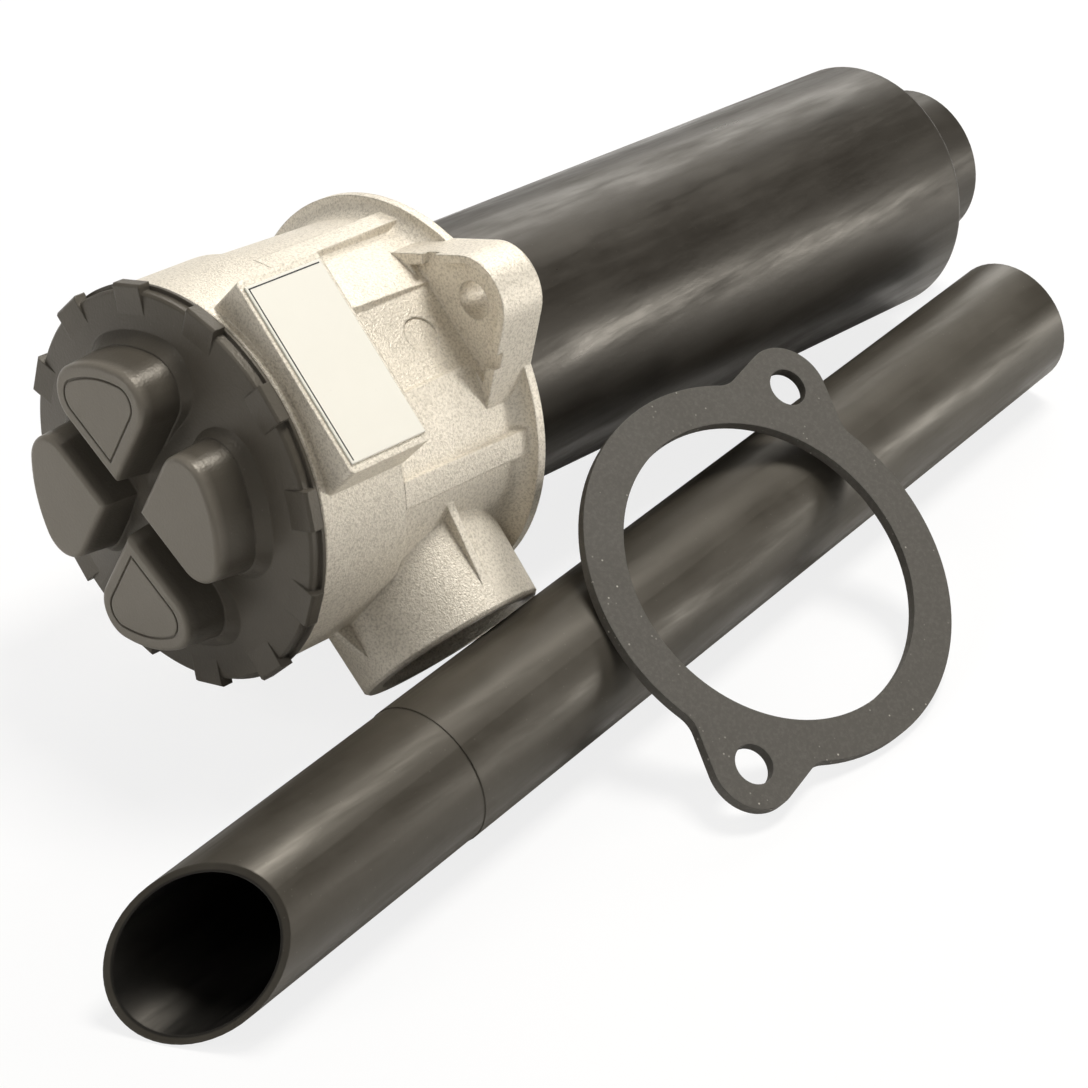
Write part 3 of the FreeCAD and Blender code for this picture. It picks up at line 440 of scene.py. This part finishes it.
# Operators: one for each piece or group of like pieces, and one for the stage
class FILTER_OT_casting(bpy.types.Operator):
    """Give the cast head its blasted surface"""
    bl_idname = "filter.casting"
    bl_label = "Cast Head"

    def execute(self, context):
        finish = context.scene.filter_finishes
        give("filter_head", finish_material(
            "Cast alloy", "Blasted casting",
            {"Light": finish.casting, "Shade": finish.casting_shade}, Metallic=0.35))
        return {"FINISHED"}


class FILTER_OT_polymers(bpy.types.Operator):
    """Give the cap, bowl and drop tube their moulded surfaces"""
    bl_idname = "filter.polymers"
    bl_label = "Cap, Bowl and Tube"

    def execute(self, context):
        finish = context.scene.filter_finishes
        cap = finish_material("Cap polymer", "Moulded polymer", {
            "Base": finish.cap, "Dust": finish.dust, "Dust amount": 0.10, "Grain": 1300.0,
            "Relief": 0.40, "Smoothness": 0.38}, Specular_Tint=finish.sheen)
        # Painted light on the tops of the cap's lobes
        paint_lit_tops(cap, FILTER, LOBE_PALE_FOOT, LOBE_PALE_TOP, tuple(finish.cap_painted_light))
        give("screw_cap", cap)
        give("bowl", finish_material("Bowl polymer", "Moulded polymer", {
            "Base": finish.bowl, "Dust": finish.dust, "Dust amount": 0.06, "Grain": 700.0,
            "Relief": 0.10, "Smoothness": 0.40, "Streaks": 1.0}, Specular_Tint=finish.sheen))
        tube = finish_material("Tube polymer", "Moulded polymer", {
            "Base": finish.tube, "Dust": finish.dust, "Dust amount": 0.10, "Grain": 500.0,
            "Relief": 0.10, "Smoothness": 0.43, "Streaks": 1.0}, Specular_Tint=finish.sheen)
        # Painted shade inside the drop tube
        darken_inside(tube, TUBE, TUBE_INSIDE, INSIDE_SHADE)
        give("drop_tube", tube)
        valve = finish_material("Valve polymer", "Moulded polymer", {
            "Base": VALVE_GREY, "Dust": finish.dust, "Dust amount": 0.0, "Grain": 900.0,
            "Relief": 0.10, "Smoothness": 0.45})
        give("bypass_poppet", valve)
        give("bypass_cage", valve)
        return {"FINISHED"}


class FILTER_OT_gasket(bpy.types.Operator):
    """Give the flange gasket its dusty sheet surface"""
    bl_idname = "filter.gasket"
    bl_label = "Flange Gasket"

    def execute(self, context):
        finish = context.scene.filter_finishes
        give("flange_gasket", finish_material("Gasket sheet", "Dusty sheet", {
            "Base": finish.gasket, "Dust": finish.dust}))
        return {"FINISHED"}


class FILTER_OT_inner_parts(bpy.types.Operator):
    """Give the element, springs, seals and rings their surfaces"""
    bl_idname = "filter.inner_parts"
    bl_label = "Inner Parts"

    def execute(self, context):
        finish = context.scene.filter_finishes
        zinc = finish_material("Plated sheet", "Drawn metal", ZINC, Metallic=0.9)
        wire = finish_material("Spring wire", "Drawn metal", SPRING_STEEL, Metallic=1.0)
        seal = finish_material("Seal rubber", "Moulded polymer", {
            "Base": RUBBER, "Dust": finish.dust, "Dust amount": 0.0,
            "Grain": 1500.0, "Relief": 0.05, "Smoothness": 0.45})
        pleats = finish_material("Pleat fibre", "Dusty sheet", PLEATS)
        for name in ("thrust_washer", "element_top_cap", "element_foot_cap", "element_core",
                     "retaining_ring"):
            give(name, zinc)
        for name in ("hold_down_spring", "bypass_spring", "element_handle"):
            give(name, wire)
        for name in ("cap_seal", "bowl_seal", "element_foot_seal"):
            give(name, seal)
        give("pleated_medium", pleats)
        return {"FINISHED"}


class FILTER_OT_bypass_spring(bpy.types.Operator):
    """Copy the bypass spring's coil into its own wire piece on the filter body and hide the original"""
    bl_idname = "filter.bypass_spring"
    bl_label = "Bypass Spring"

    def execute(self, context):
        coil = bmesh.new()
        coil.from_mesh(NODES["bypass_spring"].data)
        coil.verts.ensure_lookup_table()
        piece = finished_piece("bypass_spring_wire", coil, Matrix(), "filter_body",
                               bpy.data.materials["Spring wire"])
        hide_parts("bypass_spring")
        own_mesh(piece)
        return {"FINISHED"}


class FILTER_OT_plate(bpy.types.Operator):
    """Finish the blank plate and draw the thin line near two of its edges"""
    bl_idname = "filter.plate"
    bl_label = "Blank Plate"

    def execute(self, context):
        finish = context.scene.filter_finishes
        sizes = context.scene.filter_plate_line
        give("id_plate", finish_material("Plate film", "Moulded polymer", {
            "Base": finish.plate, "Dust": PLATE_DUST, "Dust amount": 0.25,
            "Grain": 300.0, "Relief": 0.03, "Smoothness": 0.45}))
        ink = finish_material("Plate ink", "Moulded polymer", {
            "Base": finish.ink, "Dust": finish.dust, "Dust amount": 0.0, "Grain": 900.0,
            "Relief": 0.02, "Smoothness": 0.5})
        inverse = FILTER.inverted()
        corners = [inverse @ vertex.co for vertex in NODES["id_plate"].data.vertices]
        low = Vector([min(corner[axis] for corner in corners) for axis in range(3)])
        high = Vector([max(corner[axis] for corner in corners) for axis in range(3)])
        lines = bmesh.new()
        inset, width = sizes.inset, sizes.width
        bars = (((low.y + inset, high.z - inset - width), (high.y - inset, high.z - inset)),
                ((high.y - inset - width, low.z + inset), (high.y - inset, high.z - inset)))
        for (left, foot), (right, top) in bars:
            middle = Vector((high.x, (left + right) / 2, (foot + top) / 2))
            bar = bmesh.ops.create_cube(lines, size=1.0)
            bmesh.ops.scale(lines, vec=(LINE_HEIGHT, right - left, top - foot), verts=bar["verts"])
            bmesh.ops.translate(lines, vec=middle, verts=bar["verts"])
        finished_piece("plate_line", lines, FILTER, "filter_body", ink, smooth=False)
        return {"FINISHED"}


class FILTER_OT_port_thread(bpy.types.Operator):
    """Draw the ridges of the thread inside the inlet port"""
    bl_idname = "filter.port_thread"
    bl_label = "Port Thread"

    def execute(self, context):
        sizes = context.scene.filter_port_thread
        wall = sizes.bore - THREAD_WALL_GAP
        points = [(wall, -sizes.start)]
        for turn in range(sizes.turns):
            crest = -sizes.start - sizes.pitch * (turn + 0.5)
            points.append((wall - sizes.depth, crest + THREAD_CREST_HALF * sizes.pitch))
            points.append((wall - sizes.depth, crest - THREAD_CREST_HALF * sizes.pitch))
            points.append((wall, crest - 0.5 * sizes.pitch))
        ring = spun_profile(points)
        place = mount_matrix("inlet_port")
        piece = finished_piece("port_thread", ring, place, "filter_body",
                               bpy.data.materials["Cast alloy"], smooth=False)
        flip_towards_axis(piece, place)
        return {"FINISHED"}


def flip_towards_axis(piece, place):
    inverse = place.inverted()
    face = piece.data.polygons[0]
    centre = inverse @ face.center
    normal = inverse.to_3x3() @ face.normal
    if normal.x * centre.x + normal.y * centre.y > 0:
        piece.data.flip_normals()


class FILTER_OT_stage(bpy.types.Operator):
    """Set the floor, the soft lamps, the world and the camera"""
    bl_idname = "filter.stage"
    bl_label = "Stage"

    def execute(self, context):
        scene = context.scene
        sizes = scene.filter_stage
        scene.view_settings.view_transform = "Standard"
        make_floor(scene, sizes.floor_size)
        make_world(scene)
        for lamp in LAMPS:
            make_lamp(scene, *lamp)
        make_camera(scene, sizes)
        return {"FINISHED"}


def make_lamp(scene, name, place, watts, width, warmth):
    data = bpy.data.lights.new(name, "AREA")
    data.energy = watts
    data.size = width
    data.color = warmth
    lamp = bpy.data.objects.new(name, data)
    lamp.location = place
    lamp.rotation_euler = (LAMP_AIM - Vector(place)).to_track_quat("-Z", "Y").to_euler()
    scene.collection.objects.link(lamp)


def make_floor(scene, width):
    sheet = bmesh.new()
    bmesh.ops.create_grid(sheet, x_segments=1, y_segments=1, size=width / 2)
    mesh = bpy.data.meshes.new("floor")
    sheet.to_mesh(mesh)
    sheet.free()
    floor = bpy.data.objects.new("floor", mesh)
    floor.location.z = -FLOOR_DROP
    scene.collection.objects.link(floor)
    paper = bpy.data.materials.new("White paper")
    paper.use_nodes = True
    tree = paper.node_tree
    matt = tree.nodes["Principled BSDF"]
    matt.inputs["Base Color"].default_value = PAPER
    matt.inputs["Roughness"].default_value = PAPER_ROUGHNESS
    seen = add_node(tree, "LightPath").outputs["Is Camera Ray"]
    share = math_node(tree, "MULTIPLY", seen, FLOOR_GLOW)
    glow = add_node(tree, "Emission", values={"Strength": 1.0})
    mixer = add_node(tree, "MixShader", {0: share, 1: matt.outputs[0], 2: glow.outputs[0]})
    tree.links.new(mixer.outputs[0], tree.nodes["Material Output"].inputs["Surface"])
    mesh.materials.append(paper)


def make_world(scene):
    world = bpy.data.worlds.new("Studio")
    scene.world = world
    world.use_nodes = True
    tree = world.node_tree
    light = tree.nodes["Background"]
    light.inputs["Color"].default_value = NEUTRAL + (1,)
    light.inputs["Strength"].default_value = WORLD_STRENGTH
    white = add_node(tree, "Background", values={"Color": (1, 1, 1, 1)})
    path = add_node(tree, "LightPath").outputs
    seen = math_node(tree, "MAXIMUM", path["Is Camera Ray"], path["Is Transmission Ray"])
    mixer = add_node(tree, "MixShader", {0: seen, 1: light.outputs[0], 2: white.outputs[0]})
    tree.links.new(mixer.outputs[0], tree.nodes["World Output"].inputs["Surface"])


def make_camera(scene, sizes):
    heading, slope, roll = sizes.azimuth, sizes.elevation, sizes.roll
    forward = Vector((math.cos(heading) * math.cos(slope), math.sin(heading) * math.cos(slope),
                      -math.sin(slope)))
    level = Vector((math.sin(heading), -math.cos(heading), 0))
    above = level.cross(forward)
    right = math.cos(roll) * level + math.sin(roll) * above
    up = -math.sin(roll) * level + math.cos(roll) * above
    data = bpy.data.cameras.new("Photo camera")
    data.lens = sizes.lens
    data.sensor_width = SENSOR_WIDTH
    camera = bpy.data.objects.new("Photo camera", data)
    camera.matrix_world = axes_matrix(right, up, -forward, Vector(sizes.place))
    scene.collection.objects.link(camera)
    scene.camera = camera


class FILTER_PT_panel(bpy.types.Panel):
    """Lists the filter's pieces and the stage"""
    bl_idname = "FILTER_PT_panel"
    bl_label = "Return Line Filter"
    bl_space_type = "VIEW_3D"
    bl_region_type = "UI"
    bl_category = "Filter"

    def draw(self, context):
        for operator in OPERATORS:
            self.layout.operator(operator.bl_idname)


OPERATORS = (FILTER_OT_casting, FILTER_OT_polymers, FILTER_OT_gasket, FILTER_OT_inner_parts,
             FILTER_OT_bypass_spring, FILTER_OT_plate, FILTER_OT_port_thread, FILTER_OT_stage)
GROUPS = {"filter_finishes": FilterFinishes, "filter_port_thread": PortThreadSizes,
          "filter_plate_line": PlateLineSizes, "filter_stage": StageSizes}


def register():
    for settings in GROUPS.values():
        bpy.utils.register_class(settings)
    for operator in OPERATORS:
        bpy.utils.register_class(operator)
    bpy.utils.register_class(FILTER_PT_panel)
    for name, settings in GROUPS.items():
        setattr(bpy.types.Scene, name, PointerProperty(type=settings))


def unregister():
    for name in GROUPS:
        delattr(bpy.types.Scene, name)
    bpy.utils.unregister_class(FILTER_PT_panel)
    for made in reversed(OPERATORS + tuple(GROUPS.values())):
        bpy.utils.unregister_class(made)


def main():
    register()
    bpy.ops.filter.casting()
    bpy.ops.filter.polymers()
    bpy.ops.filter.gasket()
    bpy.ops.filter.inner_parts()
    bpy.ops.filter.bypass_spring()
    bpy.ops.filter.plate()
    bpy.ops.filter.port_thread()
    bpy.ops.filter.stage()


if __name__ == "__main__":
    main()
